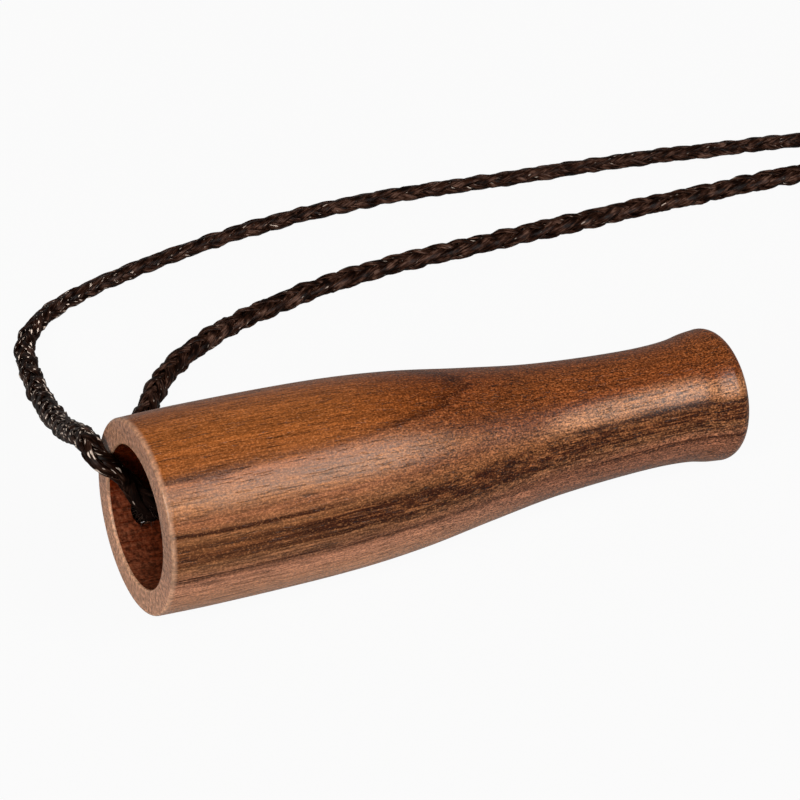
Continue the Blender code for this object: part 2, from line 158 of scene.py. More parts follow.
mouthRoute = [   # out of the lanyard hole, over the rim and round behind the call
    (-0.0420, 0.0102, 0.0090), (-0.0420, 0.0086, 0.0101), (-0.0421, 0.0071, 0.0112),
    (-0.0427, 0.0070, 0.0125), (-0.0439, 0.0077, 0.0141), (-0.0452, 0.0082, 0.0165),
    (-0.0467, 0.0081, 0.0187), (-0.0481, 0.0083, 0.0202), (-0.0490, 0.0098, 0.0212),
    (-0.0491, 0.0119, 0.0219), (-0.0489, 0.0163, 0.0203), (-0.0477, 0.0240, 0.0156),
    (-0.0462, 0.0325, 0.0110), (-0.0445, 0.0430, 0.0067), (-0.0426, 0.0540, 0.0035),
    (-0.0408, 0.0630, 0.0020), (-0.0395, 0.0676, 0.00165), (-0.0371, 0.0715, 0.00165),
    (-0.0337, 0.0747, 0.00165), (-0.0286, 0.0775, 0.00165), (-0.0215, 0.0800, 0.00165),
    (-0.0110, 0.0823, 0.00165), (0.0080, 0.0850, 0.00165), (0.0290, 0.0848, 0.00165),
    (0.0500, 0.0815, 0.00165), (0.0720, 0.0782, 0.00165), (0.0920, 0.0740, 0.00165),
    (0.1080, 0.0707, 0.00165), (0.1190, 0.0690, 0.00250), (0.1290, 0.0677, 0.00450),
    (0.1370, 0.06725, 0.00530), (0.1470, 0.06725, 0.00530), (0.1600, 0.06725, 0.00530),
]
holeRoute = [   # out of the same hole behind the bell, along the ground to the coil
    (-0.0421, 0.0105, 0.0088), (-0.0422, 0.0123, 0.0077), (-0.0422, 0.0150, 0.0060),
    (-0.0416, 0.0195, 0.0035), (-0.0398, 0.0250, 0.0020), (-0.0367, 0.0312, 0.00165),
    (-0.0325, 0.0382, 0.00165), (-0.0279, 0.0443, 0.00165), (-0.0215, 0.0516, 0.00165),
    (-0.0110, 0.0580, 0.00165), (0.0040, 0.0625, 0.00165), (0.0210, 0.0644, 0.00165),
    (0.0420, 0.0639, 0.00165), (0.0640, 0.0633, 0.00165), (0.0860, 0.0621, 0.00165),
    (0.1000, 0.0612, 0.00175), (0.1100, 0.0610, 0.0022), (0.1165, 0.0610, 0.00245),
]
tailRoute = [
    (0.1238, 0.0610, 0.00610), (0.1290, 0.0616, 0.00600), (0.1340, 0.0631, 0.00550),
    (0.1385, 0.06375, 0.00530), (0.1470, 0.06375, 0.00530), (0.1600, 0.06375, 0.00530),
]
coil = {
    "centre": (0.1200, 0.0380), "radius": 23.0 * mm, "turns": 6, "pitch": 3.72 * mm,
    "layer": 3.72 * mm, "height": 2.45 * mm, "loopPoints": 24,
}
knot = {
    "start": (0.1395, 0.0655, 0.0053), "turns": 4, "pitch": 3.85 * mm,
    "halfWidth": 5.3 * mm, "halfHeight": 3.55 * mm, "loopPoints": 16,
}


def smoothRoute(points, steps):   # rounded curve through every point
    points = [Vector(point) for point in points]
    before = 2 * points[0] - points[1]
    after = 2 * points[-1] - points[-2]
    padded = [before, *points, after]
    route = []
    for a, b, c, d in zip(padded, padded[1:], padded[2:], padded[3:]):
        ta, tb = 0.0, (b - a).length ** 0.5
        tc = tb + (c - b).length ** 0.5
        td = tc + (d - c).length ** 0.5
        for step in range(steps):
            t = tb + (tc - tb) * step / steps
            ab = a.lerp(b, (t - ta) / (tb - ta))
            bc = b.lerp(c, (t - tb) / (tc - tb))
            cd = c.lerp(d, (t - tc) / (td - tc))
            abc = ab.lerp(bc, (t - ta) / (tc - ta))
            bcd = bc.lerp(cd, (t - tb) / (td - tb))
            route.append(abc.lerp(bcd, (t - tb) / (tc - tb)))
    return route + [points[-1]]


def coilLoops():   # spirals in on the lower layer and out again on top of it
    half = coil["turns"] / 2
    loops = []
    for step in range(coil["turns"] * coil["loopPoints"] + 1):
        turns = step / coil["loopPoints"]
        angle = math.pi / 2 - 2 * math.pi * turns
        climb = max(0.0, min(1.0, 2 * (turns - half) + 0.5))
        radius = coil["radius"] - coil["pitch"] * (half - abs(turns - half))
        loops.append((
            coil["centre"][0] + radius * math.cos(angle),
            coil["centre"][1] + radius * math.sin(angle),
            coil["height"] + coil["layer"] * climb,
        ))
    return loops


def knotLoops():
    loops = []
    for step in range(knot["turns"] * knot["loopPoints"] + 1):
        angle = 2 * math.pi * step / knot["loopPoints"]
        loops.append((
            knot["start"][0] + knot["pitch"] * angle / (2 * math.pi),
            knot["start"][1] + knot["halfWidth"] * math.cos(angle),
            knot["start"][2] + knot["halfHeight"] * math.sin(angle),
        ))
    return loops


def between(keys, place):   # value at a place between (place, value) keys
    if place <= keys[0][0]:
        return keys[0][1]
    for (a, low), (b, high) in zip(keys, keys[1:]):
        if place <= b:
            share = (place - a) / (b - a)
            return low + (high - low) * share * share * (3 - 2 * share)
    return keys[-1][1]


def spaced(route, spacing):   # points along a route at the spacing that its keys give
    lengths = [0.0]
    for a, b in zip(route, route[1:]):
        lengths.append(lengths[-1] + (b - a).length)
    points, places, place, index = [], [], 0.0, 0
    while place < lengths[-1]:
        while lengths[index + 1] < place:
            index += 1
        share = (place - lengths[index]) / (lengths[index + 1] - lengths[index])
        points.append(route[index].lerp(route[index + 1], share))
        places.append(place)
        place += between(spacing, place)
    points.append(route[-1])
    places.append(lengths[-1])
    return points, places


def layBraid(name, route, spacing, roll, plump, sink=0.0):
    points, places = spaced(route, spacing)
    drop = braid["sinkFrom"] - braid["sinkFull"]
    points = [point - Vector((0, 0, sink * max(0.0, min(1.0, (braid["sinkFrom"] - point.z) / drop))))
              for point in points]
    sides, count, last = braid["sides"], braid["strands"], len(points) - 1
    oneWay = count // 2
    reach = math.sqrt((braid["over"] ** 2 + braid["under"] ** 2) / 2) + braid["strandThickness"] / 2
    verts, uvs, frames = [], [], []
    wander = random.Random(name)
    for i, point in enumerate(points):
        run = (points[min(i + 1, last)] - points[max(i - 1, 0)]).normalized()
        level = Vector((-run.y, run.x, 0.0)).normalized()
        turn = math.radians(between(roll, places[i]))
        side = level * math.cos(turn) + run.cross(level) * math.sin(turn)
        frames.append((side, run.cross(side)))
    for strand in range(count):
        clockwise = strand < oneWay
        high, low = braid["over"], braid["under"]
        centres = []
        swell = [wander.uniform(-1.0, 1.0) for _ in range(int(places[-1] / braid["swellEvery"]) + 3)]
        for i, point in enumerate(points):
            turn = 2 * math.pi * places[i] / braid["lay"]
            angle = (turn if clockwise else math.pi / oneWay - turn) + strand % oneWay * 2 * math.pi / oneWay
            x = (high if clockwise else low) * math.cos(angle)
            y = (low if clockwise else high) * math.sin(angle)
            x, y = (x - y) * math.sqrt(0.5), (x + y) * math.sqrt(0.5)   # floats meet along the flat's middle
            tip = braid["meltedSize"]
            melt = tip + (1 - tip) * min(1.0, (places[-1] - places[i]) / braid["endTaper"])
            side, face = frames[i]
            thin = between(plump, places[i]) / 2 / reach
            wide = max(braid["width"] / 2 / reach, thin)
            knob = places[i] / braid["swellEvery"]
            bulge = swell[int(knob)] * (1 - knob % 1) + swell[int(knob) + 1] * (knob % 1)
            lift = 1 + braid["uneven"] * bulge / braid["over"]
            centre = point + (side * x * wide + face * y * thin) * melt * lift
            centres.append((centre, Vector((x / wide, y / thin)), melt * (1 + braid["swell"] * bulge)))
        for i, (centre, section, size) in enumerate(centres):
            side, face = frames[i]
            along = (centres[min(i + 1, last)][0] - centres[max(i - 1, 0)][0]).normalized()
            outward = side * section.x + face * section.y
            outward = (outward - along * outward.dot(along)).normalized()
            across = along.cross(outward)
            for corner in range(sides):
                phase = 2 * math.pi * corner / sides
                point = (centre + across * math.cos(phase) * braid["strandWidth"] / 2 * size
                         + outward * math.sin(phase) * braid["strandThickness"] / 2 * size)
                if point.z < braid["pressBelow"]:
                    press = (point.z - braid["groundGap"]) / braid["give"]
                    point.z = braid["groundGap"] + braid["give"] * math.log1p(math.exp(press))
                verts.append(point)
    faces = []
    for strand in range(count):
        base, shift = strand * len(points) * sides, braid["uvShift"] * strand
        for i in range(last):
            a, b = base + i * sides, base + (i + 1) * sides
            near, far = places[i] / mm, places[i + 1] / mm
            for corner in range(sides):
                after = (corner + 1) % sides
                faces.append((a + after, a + corner, b + corner, b + after))
                u, v = corner / sides + shift, (corner + 1) / sides + shift
                uvs += [v, near, u, near, u, far, v, far]
        for ring, order in ((0, 1), (last, -1)):
            faces.append(tuple(base + ring * sides + corner for corner in range(sides))[::order])
            uvs += [0.5, places[ring] / mm] * sides
    piece = newPiece(name, verts, faces)
    piece.data.uv_layers.new(name="strandUV").data.foreach_set("uv", uvs)
    piece.data.polygons.foreach_set("use_smooth", [True] * len(faces))
    piece.data.update()
    print(name, "braided over", round(places[-1], 4), "m,", len(faces), "faces")
    return piece, points, places[-1]


# keys of the next three: metres along the cord, then ring spacing, roll in degrees, or thickness
mouthRun, mouthPath, mouthLength = layBraid(
    "lanyardMouthRun", smoothRoute(mouthRoute, 8), [(0.0, braid["ringGap"])],
    [(0.0, -27.0), (0.060, -27.0), (0.085, -24.0)],
    [(0.0035, inHole), (0.010, braid["thickness"])], braid["sink"],
)
hankRun, hankPath, hankLength = layBraid(
    "lanyardHankRun", smoothRoute(holeRoute + coilLoops() + tailRoute, 6),
    [(0.19, braid["ringGap"]), (0.21, 0.78 * mm)],
    [(0.0, 30.0), (0.03, 15.0), (0.17, 15.0), (0.20, 0.0)],
    [(0.0035, inHole), (0.010, braid["thickness"])],
)
knotTurns = layBraid(
    "lanyardKnot", smoothRoute(knotLoops(), 4), [(0.0, 0.7 * mm)], [(0.0, 0.0)], [(0.0, braid["thickness"])],
)[0]


# Fray where the braid rubs on the edge of the lanyard hole: broken filaments, drawn thicker than life to show

fray = {
    "hairs": 46, "length": (0.9 * mm, 2.0 * mm), "radius": 0.035 * mm, "taper": 0.6,
    "from": 2.0 * mm, "to": 5.5 * mm,                      # along the cord
    "skin": 1.45 * mm, "lean": (-0.9, 0.5), "curl": 0.6,   # where a hair starts, and how it stands
    "rings": 5, "sides": 4,
}


def growFray(name, path):
    grow = random.Random(7)
    sides, last = fray["sides"], fray["rings"] - 1
    verts, faces = [], []
    for _ in range(fray["hairs"]):
        place = grow.uniform(fray["from"], fray["to"])
        index = min(range(len(path)), key=lambda i: abs(i * braid["ringGap"] - place))
        run = (path[index + 1] - path[index]).normalized()
        out = Vector([grow.uniform(-1, 1) for _ in range(3)])
        out = (out - run * out.dot(run)).normalized()
        lean = (out + run * grow.uniform(*fray["lean"])).normalized()
        curl = Vector([grow.uniform(-fray["curl"], fray["curl"]) for _ in range(3)])
        length = grow.uniform(*fray["length"])
        side = lean.orthogonal().normalized()
        up = lean.cross(side)
        start = path[index] + out * fray["skin"]
        base = len(verts)
        for ring in range(last + 1):
            share = ring / last
            centre = start + (lean * share + curl * share * share * 0.5) * length
            thick = fray["radius"] * (1 - fray["taper"] * share)
            for corner in range(sides):
                phase = 2 * math.pi * corner / sides
                verts.append(centre + (side * math.cos(phase) + up * math.sin(phase)) * thick)
        for ring in range(last):
            a = base + ring * sides
            for corner in range(sides):
                after = (corner + 1) % sides
                faces.append((a + corner, a + after, a + sides + after, a + sides + corner))
        faces.append(tuple(base + corner for corner in reversed(range(sides))))
        faces.append(tuple(base + last * sides + corner for corner in range(sides)))
    return newPiece(name, verts, faces)


holeFray = growFray("lanyardFray", mouthPath)


# Turned barrel, in the call's own frame: X along it from the bell face, Y to the back, Z up

barrel = {
    "length": 95.0 * mm,
    "steps": 144,
    "bellRadius": 14.45 * mm, "bellyStation": 9.0 * mm, "rimRadius": 14.30 * mm,
    "rimOuterRound": 0.5 * mm, "rimInnerRound": 0.4 * mm,
    "flank": [(30.5, 0.931), (42.0, 0.757), (53.5, 0.444), (65.0, 0.163)],   # mm, share above the neck
    "neckRadius": 9.05 * mm, "neckFromEnd": 13.5 * mm,
    "flare": [(7.5, 0.28), (4.8, 0.78), (2.4, 1.03)],   # mm from the end, mm above the neck
    "lipRound": 2.4 * mm,
    "bellBore": 10.5 * mm, "socket": 6.35 * mm, "shoulder": 54.0 * mm, "socketRound": 0.6 * mm,
    "throat": 4.5 * mm, "throatLength": 4.0 * mm, "coneLength": 8.0 * mm,
    "boreSteps": 24,
    "holeDepth": 5.5 * mm, "holeAngle": -33.0, "holeRadius": 2.0 * mm, "holeSteps": 40,
    "holeWall": [   # surface it starts from, mm past that, mm past the drill: the cord has eased both edges
        ("bellBore", -2.0, 1.2), ("bellBore", -0.1, 0.45), ("bellBore", 0.25, 0.135), ("bellBore", 0.7, 0.0),
        ("bellRadius", -0.8, 0.0), ("bellRadius", -0.3, 0.135),
        ("bellRadius", 0.05, 0.45), ("bellRadius", 2.0, 1.4),
    ],
    "bellFace": 0.02 * mm, "lipFace": 0.15 * mm,   # how deep the end grain's material reaches
    "shouldersFrom": 20.0 * mm,                    # faces across the bore past here belong to the bore
    "smoothAngle": 35.0,
}
callTilt = 0.064626   # the call lies on its bell and its lip
callPlace = Matrix.Translation((-0.0472032, 0.0, 0.0160392)) @ Matrix.Rotation(callTilt, 4, "Y")


def arc(centre, radius, start, steps=6):   # quarter round, clockwise
    return [(centre[0] + radius * math.cos(start - math.pi / 2 * i / steps),
             centre[1] + radius * math.sin(start - math.pi / 2 * i / steps)) for i in range(steps + 1)]


def barrelOutline():
    b = barrel
    rise = b["bellRadius"] - b["neckRadius"]
    knots = [(0.0, b["rimRadius"]), (b["bellyStation"], b["bellRadius"])]
    knots += [(station * mm, b["neckRadius"] + share * rise) for station, share in b["flank"]]
    knots.append((b["length"] - b["neckFromEnd"], b["neckRadius"]))
    knots += [(b["length"] - back * mm, b["neckRadius"] + up * mm) for back, up in b["flare"]]
    curve = [(p.x, p.y) for p in smoothRoute([(x, y, 0.0) for x, y in knots], 10)]
    outer = arc((b["rimOuterRound"], b["rimRadius"] - b["rimOuterRound"]), b["rimOuterRound"], math.pi)
    outer += [p for p in curve if p[0] > 1.6 * b["rimOuterRound"]][:-1]
    lip = b["neckRadius"] + b["flare"][-1][1] * mm
    outer += arc((b["length"] - b["lipRound"], lip - b["lipRound"]), b["lipRound"], math.pi / 2, 10)
    edge = b["socketRound"]
    bore = arc((b["length"] - edge, b["socket"] + edge), edge, 0.0)
    start = b["shoulder"] - b["throatLength"]
    bore += [(b["shoulder"], b["socket"]), (b["shoulder"], b["throat"]), (start, b["throat"])]
    cone = start - b["coneLength"]
    steps = b["boreSteps"]
    bore += [(cone * (1 - i / steps), b["bellBore"]) for i in range(steps)]
    bore += arc((b["rimInnerRound"], b["bellBore"] + b["rimInnerRound"]), b["rimInnerRound"], -math.pi / 2)
    return outer + bore


def turnOutline(name, outline, steps, closed=True):   # one vertex drawn along the outline, then spun round X
    clearSelection()
    bpy.ops.mesh.primitive_plane_add(size=mm, location=(0.0, 0.0, 0.0))
    piece = startPiece(name)
    bpy.ops.object.mode_set(mode="EDIT")
    bpy.ops.mesh.select_all(action="SELECT")
    bpy.ops.mesh.merge(type="CENTER")
    bpy.ops.transform.translate(value=(outline[0][0], 0.0, outline[0][1]))
    for (x, r), (nextX, nextR) in zip(outline, outline[1:]):
        bpy.ops.mesh.extrude_region_move(TRANSFORM_OT_translate={"value": (nextX - x, 0.0, nextR - r)})
    bpy.ops.mesh.select_all(action="SELECT")
    if closed:
        bpy.ops.object.mode_set(mode="OBJECT")
        for i, vertex in enumerate(piece.data.vertices):
            vertex.select = i in (0, len(piece.data.vertices) - 1)
        for edge in piece.data.edges:
            edge.select = False
        bpy.ops.object.mode_set(mode="EDIT")
        bpy.ops.mesh.edge_face_add()
        bpy.ops.mesh.select_all(action="SELECT")
    bpy.ops.mesh.spin(steps=steps, angle=2 * math.pi, center=(0, 0, 0), axis=(1, 0, 0))
    bpy.ops.mesh.select_all(action="SELECT")
    bpy.ops.mesh.remove_doubles(threshold=1e-6)
    bpy.ops.mesh.normals_make_consistent(inside=False)
    bpy.ops.object.mode_set(mode="OBJECT")
    return piece


def carve(piece, tool, operation="DIFFERENCE"):
    change = piece.modifiers.new(tool.name, "BOOLEAN")
    change.operation = operation
    change.solver = "EXACT"
    change.object = tool
    applyAll(piece)
    bpy.data.objects.remove(tool)


walnutBarrel = turnOutline("walnutBarrel", barrelOutline(), barrel["steps"])

holeWall = [(barrel[face] + out * mm, barrel["holeRadius"] + wide * mm)
            for face, out, wide in barrel["holeWall"]]
holeOutline = [(holeWall[0][0], 0.0), *holeWall, (holeWall[-1][0], 0.0)]
holeDrill = turnOutline("holeDrill", holeOutline, barrel["holeSteps"], closed=False)
holeTurn = math.radians(barrel["holeAngle"])
outward = Vector((0.0, math.cos(holeTurn), math.sin(holeTurn)))
holeDrill.matrix_world = (Matrix.Translation((barrel["holeDepth"], 0.0, 0.0))
                          @ Vector((1, 0, 0)).rotation_difference(outward).to_matrix().to_4x4())
carve(walnutBarrel, holeDrill)
for face in walnutBarrel.data.polygons:   # outside, end grain, bore
    x, y, z = face.center
    radius = math.hypot(y, z)
    endFace = x < barrel["bellFace"] or x > barrel["length"] - barrel["lipFace"]
    arris = x < barrel["rimInnerRound"]
    shoulder = barrel["shouldersFrom"] < x < 0.9 * barrel["length"] and abs(face.normal.x) > 0.9
    inside = shoulder or face.normal.y * y + face.normal.z * z < -0.2 * radius
    face.material_index = 1 if endFace else 2 if inside and not arris else 0
    face.use_smooth = True
seat(walnutBarrel, callPlace)
bpy.ops.object.shade_smooth_by_angle(angle=math.radians(barrel["smoothAngle"]))
print("barrel turned,", len(walnutBarrel.data.polygons), "faces")


# Black walnut, turned, sanded and oiled: flat-sawn growth layers, so the brown heart shows as a band of
# dark streaks low on the side and one layer arches over the top, with open pores and a fine golden fleck

walnut = {
    "pithBelow": 70.0,         # mm from the axis down to the pith
    "slowBy": 1.4,             # mm that the slow wander moves a layer, where the quick one moves it 1 mm
    "layers": [   # mm above the axis, colour of the growth layer there
        (-16.0, "c38c69"), (-6.5, "b98260"), (-4.5, "ae7859"), (-2.6, "a47055"), (-1.4, "8e5e46"),
        (-0.4, "764c36"), (0.8, "805438"), (1.8, "70482c"), (3.2, "62381e"), (4.3, "683e22"),
        (5.4, "74492b"), (6.2, "7a4d30"), (7.6, "74462c"), (8.8, "825230"), (9.8, "885834"),
        (11.6, "814e2f"), (12.0, "7e461e"), (13.0, "7e451e"), (14.5, "82481f"),
    ],
    "span": (-16.0, 16.0),
    "grain": {   # noises drawn out along the call: mm along, mm across, detail, roughness
        "slow": (42.0, 8.0, 2.0, 0.6), "quick": (22.0, 0.9, 3.0, 0.6), "long": (34.0, 0.55, 3.0, 0.62),
        "short": (13.0, 0.26, 2.0, 0.6), "blotch": (4.2, 1.5, 3.0, 0.6), "fibre": (4.5, 0.3, 3.0, 0.65),
        "bands": (30.0, 0.7, 2.0, 0.6), "fleck": (0.34, 0.23, 2.0, 0.6), "pore": (3.2, 0.2, 0.0, 0.6),
    },
    # each limit below: measure (mm or a noise), where it starts, where it is full, share there, share before
    "crown": [("station", 25.0, 65.0, 6.6, 11.6)],   # layer where the top starts: it falls along the call
    "shades": [
        ("714531", ("station", 32.0, 72.0, 0.85), ("layer", 2.4, -0.8)),        # low layers turn greyer
        ("5a2606", ("station", 22.0, 50.0, 0.82), ("overCrown", -0.2, 1.2)),    # and the top redder
        ("a9774f", ("station", 56.0, 66.0, 0.32), ("layer", 5.6, 6.4), ("layer", 8.2, 7.2)),   # pale neck: painted highlight on the neck's highlight band
        ("4f260b", ("station", 30.0, 42.0, 0.38), ("station", 66.0, 58.0), ("layer", 4.0, 5.5),
         ("layer", 11.8, 9.8, 1.0, 0.15)),                                      # painted shade on the waist, where the flank's highlight fades
    ],
    "streak": "2a0c01",
    "streaks": [   # 13 to 34 mm long and under 1 mm wide, knotting into blotches at mid length
        [("long", 0.44, 0.57, 0.97)],
        [("short", 0.49, 0.61, 0.92)],
        [("blotch", 0.49, 0.60, 0.85), ("station", 22.0, 34.0), ("station", 66.0, 54.0)],
    ],
    "heart": [("layer", -0.6, 2.0), ("layer", 6.0, 4.6), ("station", 8.0, 28.0, 1.0, 0.6)],
    "lines": [   # layer that a dark line follows, then its limits
        (-0.5, ("gap", 1.0, 0.2), ("station", 45.0, 28.0, 0.9, 0.5)),   # foot of the heart's streaks
        (6.1, ("gap", 0.45, 0.1), ("station", 36.0, 20.0, 0.9)),        # single one on the bell
        (5.0, ("gap", 0.36, 0.1), ("station", 60.0, 70.0, 0.85)),       # two near the mouthpiece
        (-0.25, ("gap", 0.36, 0.1), ("station", 60.0, 70.0, 0.85)),
    ],
    "archLine": 11.75,         # edge of the layer that arches over the top
    "arch": [("overArch", -0.12, 0.02), ("overArch", 0.8, 0.04, 0.78)],
    "archAlong": [[("station", 18.0, 42.0, 0.8, 0.15)], [("station", 17.0, 11.0, 0.75)]],
    "fibreTone": [("fibre", 0.3, 0.7, 1.42, 0.58)],
    "bandTone": [("bands", 0.3, 0.7, 1.18, 0.82)],
    "fleckTone": [("fleck", 0.28, 0.78, 1.25, -0.62), ("station", 18.0, 62.0, 1.2, 0.56)],   # added to 1
    "fleck": "bf8658", "golden": [("fleck", 0.54, 0.74, 0.32)],
    "poreEdge": [("pore", 0.24, 0.33)], "poreTone": 0.5,
    "speckScale": 1.7, "speckTone": [("speck", 0.36, 0.64, 1.6, 0.42)],
    "relief": (0.4, 0.3, 2.2), "reliefDepth": 0.06 * mm,   # of fibre, fleck and specks, beside the pores
    "paintedBoreShade": (0.5, 12.0),       # mm into the bell between which painted shade darkens the bore
    "roughSpread": (0.08, -0.05), "arrisPolish": [("station", 1.6, 0.6, -0.13)],   # from handling
}
cutFaces = {   # tint, how much of it shows from the bell inwards, roughness, relief, gloss, tone of the painted shade deep inside
    # the pale tint on the arris is partly wear and partly a painted highlight on the edges
    "oiledWalnut": {"tint": "c9a084", "shown": [("station", 0.2, 1.0, 0.0, 0.45)], "rough": 0.28,
                    "relief": 0.6, "gloss": 0.18, "paintedShadeTone": 1.0},
    "sandedWalnutEndGrain": {"tint": "a77d66", "shown": [("station", 0.0, 1.0, 0.7, 0.7)], "rough": 0.42,
                             "relief": 0.9, "gloss": 0.18, "paintedShadeTone": 1.0},
    "drilledWalnutBore": {"tint": "571700", "shown": [("station", 0.0, 8.0, 0.95, 0.86)], "rough": 0.3,
                          "relief": 1.0, "gloss": 0.06, "paintedShadeTone": 0.15},
}


def drawnOut(add, vector, scale, detail, roughness, shift=(0.0, 0.0, 0.0)):   # noise stretched along a grain
    drawn = add("Mapping", {"Vector": vector, "Scale": scale, "Location": shift})
    return add("TexNoise", {"Vector": drawn, "Scale": 1.0, "Detail": detail, "Roughness": roughness}, "Fac")


def within(add, measures, limits, edge="SMOOTHSTEP"):   # the shares that its limits give, multiplied
    shown = None
    for measure, start, full, *shares in limits:
        there, before = (*shares, *(1.0, 0.0)[len(shares):])
        share = add("MapRange", {"Value": measures[measure], "From Min": start, "From Max": full,
                                 "To Min": before, "To Max": there}, interpolation_type=edge)
        shown = share if shown is None else add("Math", {0: shown, 1: share}, operation="MULTIPLY")
    return shown


def most(add, shares):   # the largest share at each place
    whole = shares[0]
    for share in shares[1:]:
        whole = add("Math", {0: whole, 1: share}, operation="MAXIMUM")
    return whole


def walnutMaterial(name):
    made, add = newMaterial(name)
    cut = cutFaces[name]
    place = add("TexCoord", {}, "Object")
    call = add("Mapping", {"Vector": place, "Location": callPlace.translation,
                           "Rotation": (0.0, callTilt, 0.0)}, vector_type="TEXTURE")
    inMm = add("VectorMath", {0: call, 1: (1 / mm, 1 / mm, 1 / mm)}, operation="MULTIPLY")
    station = add("SeparateXYZ", {0: inMm}, "X")
    measures = {"station": station}
    for kind, (length, width, detail, roughness) in walnut["grain"].items():
        measures[kind] = drawnOut(add, inMm, (1 / length, 1 / width, 1 / width), detail, roughness)
    fibre, fleck = measures["fibre"], measures["fleck"]

    # growth layers: distance from the pith, with a slow and a quick wander along the grain
    depth, slowBy = walnut["pithBelow"], walnut["slowBy"]
    pith = add("Mapping", {"Vector": inMm, "Location": (0, 0, depth), "Scale": (0, 1, 1)})
    reach = add("VectorMath", {0: pith}, "Value", operation="LENGTH")
    reach = add("Math", {0: measures["slow"], 1: slowBy, 2: reach}, operation="MULTIPLY_ADD")
    reach = add("Math", {0: reach, 1: measures["quick"]}, operation="ADD")
    layer = add("Math", {0: reach, 1: depth + (slowBy + 1) / 2}, operation="SUBTRACT")
    low, high = walnut["span"]
    share = add("MapRange", {"Value": layer, "From Min": low, "From Max": high})
    stops = [((height - low) / (high - low), tone) for height, tone in walnut["layers"]]
    colour = add("ValToRGB", {"Fac": share}, stops=stops)

    # shades that come and go along the call, with a painted highlight on the neck and painted shade on the
    # waist
    crown = within(add, measures, walnut["crown"])
    measures["layer"] = layer
    measures["overCrown"] = add("Math", {0: layer, 1: crown}, operation="SUBTRACT")
    measures["overArch"] = add("Math", {0: layer, 1: walnut["archLine"]}, operation="SUBTRACT")
    for shade, *limits in walnut["shades"]:
        shown = within(add, measures, limits)
        colour = add("Mix", {0: shown, 6: colour, 7: hexColour(shade)}, 2, data_type="RGBA")

    # dark streaks of the heart, and single dark lines
    lines = []
    for height, *limits in walnut["lines"]:
        gap = add("Math", {0: layer, 1: height}, operation="SUBTRACT")
        gap = add("Math", {0: gap}, operation="ABSOLUTE")
        lines.append(within(add, {**measures, "gap": gap}, limits))
    foot, *lines = lines
    heart = most(add, [within(add, measures, walnut["heart"]), foot])
    streak = most(add, [within(add, measures, limits) for limits in walnut["streaks"]])
    dark = add("Math", {0: streak, 1: heart}, operation="MULTIPLY")
    along = most(add, [within(add, measures, limits) for limits in walnut["archAlong"]])
    arch = within(add, measures, walnut["arch"])
    arch = add("Math", {0: arch, 1: along}, operation="MULTIPLY")
    dark = most(add, [dark, arch, *lines])
    colour = add("Mix", {0: dark, 6: colour, 7: hexColour(walnut["streak"])}, 2, data_type="RGBA")

    # fibre streaks about 0.3 mm wide, wider bands of them, and the golden fleck of cut cells, 0.3 mm
    fibreTone = within(add, measures, walnut["fibreTone"], "LINEAR")
    bandTone = within(add, measures, walnut["bandTone"])
    fleckTone = within(add, measures, walnut["fleckTone"])
    fleckTone = add("Math", {0: fleckTone, 1: 1.0}, operation="ADD")
    for tone in (fibreTone, bandTone, fleckTone):
        colour = add("VectorMath", {0: colour, "Scale": tone}, operation="SCALE")
    golden = within(add, measures, walnut["golden"])
    colour = add("Mix", {0: golden, 6: colour, 7: hexColour(walnut["fleck"])}, 2, data_type="RGBA")
    # pores: dark dashes 3 mm long and 0.15 mm wide, drawn 0.2 mm wide to show
    pore = within(add, measures, walnut["poreEdge"])
    tone = add("MapRange", {"Value": pore, "To Min": walnut["poreTone"]})
    colour = add("VectorMath", {0: colour, "Scale": tone}, operation="SCALE")

    # each cut face's own tint: pale worn arris outside, its paleness partly a painted highlight on the edges;
    # sanded end grain; a bore tint that deepens a little inwards
    tint = within(add, measures, cut["shown"])
    colour = add("Mix", {0: tint, 6: colour, 7: hexColour(cut["tint"])}, 2, data_type="RGBA")
    # cut across the grain, the pores are dots about 0.3 mm apart, drawn twice as coarse to show
    speck = add("TexNoise", {"Vector": inMm, "Scale": walnut["speckScale"], "Detail": 1.5, "Roughness": 0.6},
                "Fac")
    mottle = within(add, {"speck": speck}, walnut["speckTone"], "LINEAR")
    mottle = add("Mix", {0: tint, 2: 1.0, 3: mottle}, data_type="FLOAT")
    # painted shade: the bore darkens with depth into the bell, where little light reaches
    paintedBoreShade = within(add, measures, [("station", *walnut["paintedBoreShade"], cut["paintedShadeTone"], 1.0)])
    tone = add("Math", {0: mottle, 1: paintedBoreShade}, operation="MULTIPLY")
    colour = add("VectorMath", {0: colour, "Scale": tone}, operation="SCALE")

    cutAcross = add("Math", {0: speck, 1: tint}, operation="MULTIPLY")
    height = pore
    for part, share in zip((fibre, fleck, cutAcross), walnut["relief"]):
        height = add("Math", {0: part, 1: share, 2: height}, operation="MULTIPLY_ADD")
    normal = add("Bump", {"Height": height, "Strength": cut["relief"], "Distance": walnut["reliefDepth"]})
    start, full = walnut["fibreTone"][0][1:3]
    coarse, smooth = [cut["rough"] + change for change in walnut["roughSpread"]]
    rough = within(add, measures, [("fibre", start, full, coarse, smooth)], "LINEAR")
    wearAndGlints = within(add, measures, walnut["arrisPolish"], "LINEAR")
    rough = add("Math", {0: rough, 1: wearAndGlints}, operation="ADD")
    shader = add("BsdfPrincipled", {"Base Color": colour, "Roughness": rough, "Normal": normal, "IOR": 1.5,
                                    "Specular IOR Level": cut["gloss"]})
    add("OutputMaterial", {"Surface": shader})
    return made


for name in cutFaces:   # in the order of the barrel's faces: outside, end grain, bore
    walnutBarrel.data.materials.append(walnutMaterial(name))
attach(walnutBarrel, "barrel")
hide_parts("walnut_barrel")
print("walnut finished")
